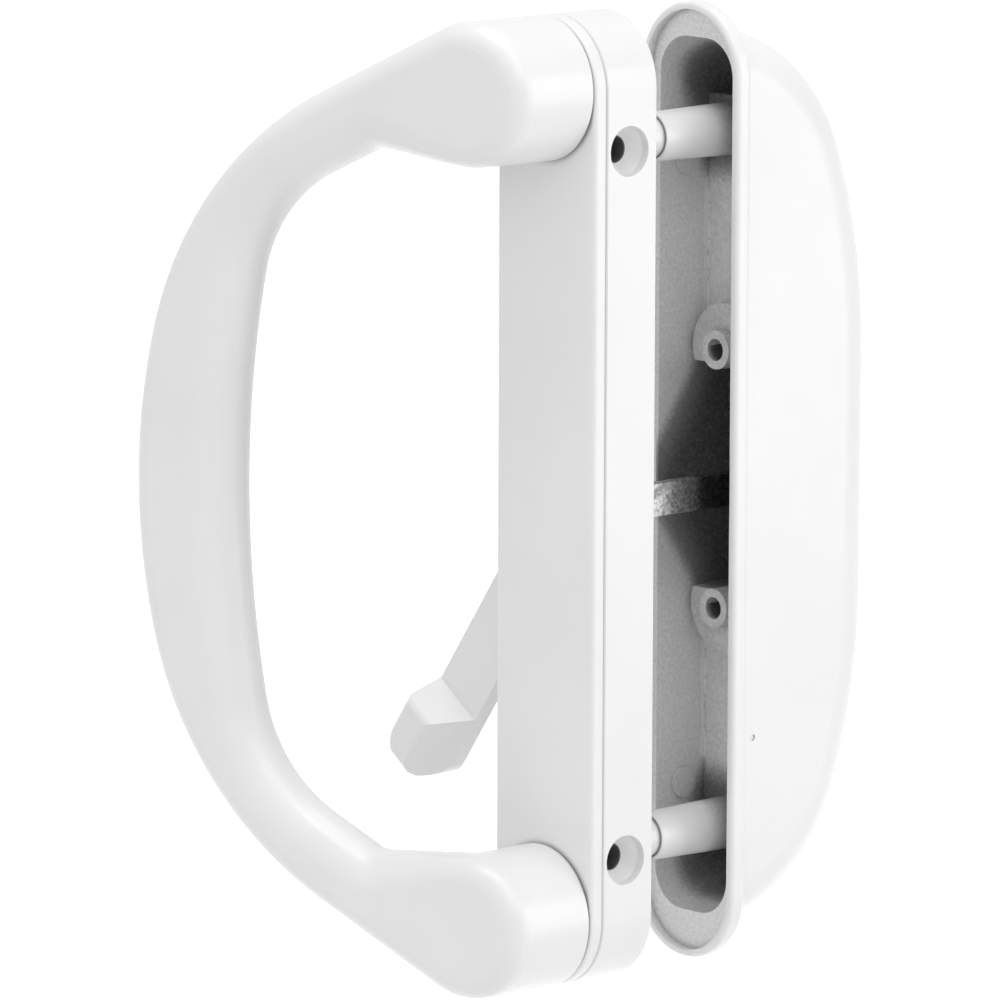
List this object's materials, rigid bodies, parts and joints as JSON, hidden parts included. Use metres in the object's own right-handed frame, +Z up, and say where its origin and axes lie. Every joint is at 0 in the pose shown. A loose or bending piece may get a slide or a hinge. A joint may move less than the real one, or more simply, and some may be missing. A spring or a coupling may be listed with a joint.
{
  "type": "sliding door pull",
  "caption": "Sliding door handle set in white: narrow rounded base with an offset D pull and a swinging latch lever inside, and a hollow D-shaped pull outside, joined by studs.",
  "frame": {"origin": "middle of the back face of the inner base, where it lies on the door", "axes": "+Z up along the handle, +Y out through the door towards the outer pull, +X towards the edge with the side screw holes; the D pull reaches out towards -X"},
  "size_m": [0.0811, 0.1087, 0.172],
  "materials": {
    "white_gloss": "gloss",
    "plated_steel": "zinc plated",
    "nylon": "matte"
  },
  "bodies": {
    "handle_set": {"base_housing": "white_gloss", "face_plate": "white_gloss", "pull_handle": "white_gloss", "pull_screws": "plated_steel", "friction_washer": "nylon", "mounting_studs": "white_gloss", "outer_pull": "white_gloss"},
    "lever": {"latch_lever": "white_gloss", "tail_bar": "plated_steel", "tail_pin": "plated_steel"}
  },
  "joints": [
    {"name": "lever_turn", "type": "hinge", "parent": "handle_set", "child": "lever", "pos_m": [0, 0, -0.002], "axis": [0, 1, 0], "range_deg": [0, 109]}
  ]
}
